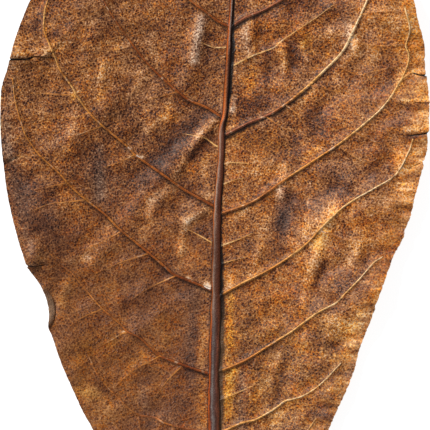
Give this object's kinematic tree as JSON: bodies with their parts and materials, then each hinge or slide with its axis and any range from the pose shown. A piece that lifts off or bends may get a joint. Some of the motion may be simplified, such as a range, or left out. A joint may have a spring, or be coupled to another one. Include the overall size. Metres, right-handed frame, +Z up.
{
  "type": "indian almond leaf",
  "caption": "Dry fallen broad leaf, underside up, with a raised midrib, side veins and cross veins, a waved torn edge and a short stalk.",
  "frame": {"origin": "centre of the leaf's bounding box in plan, on the surface that the leaf lies on", "axes": "+Y along the midrib towards the tip, +Z up, out of the leaf's veined underside, +X across the blade"},
  "size_m": [0.1282, 0.254, 0.0117],
  "materials": {
    "dry_leaf": "satin"
  },
  "bodies": {
    "root": {"indian_almond_leaf": "dry_leaf"}
  },
  "joints": []
}
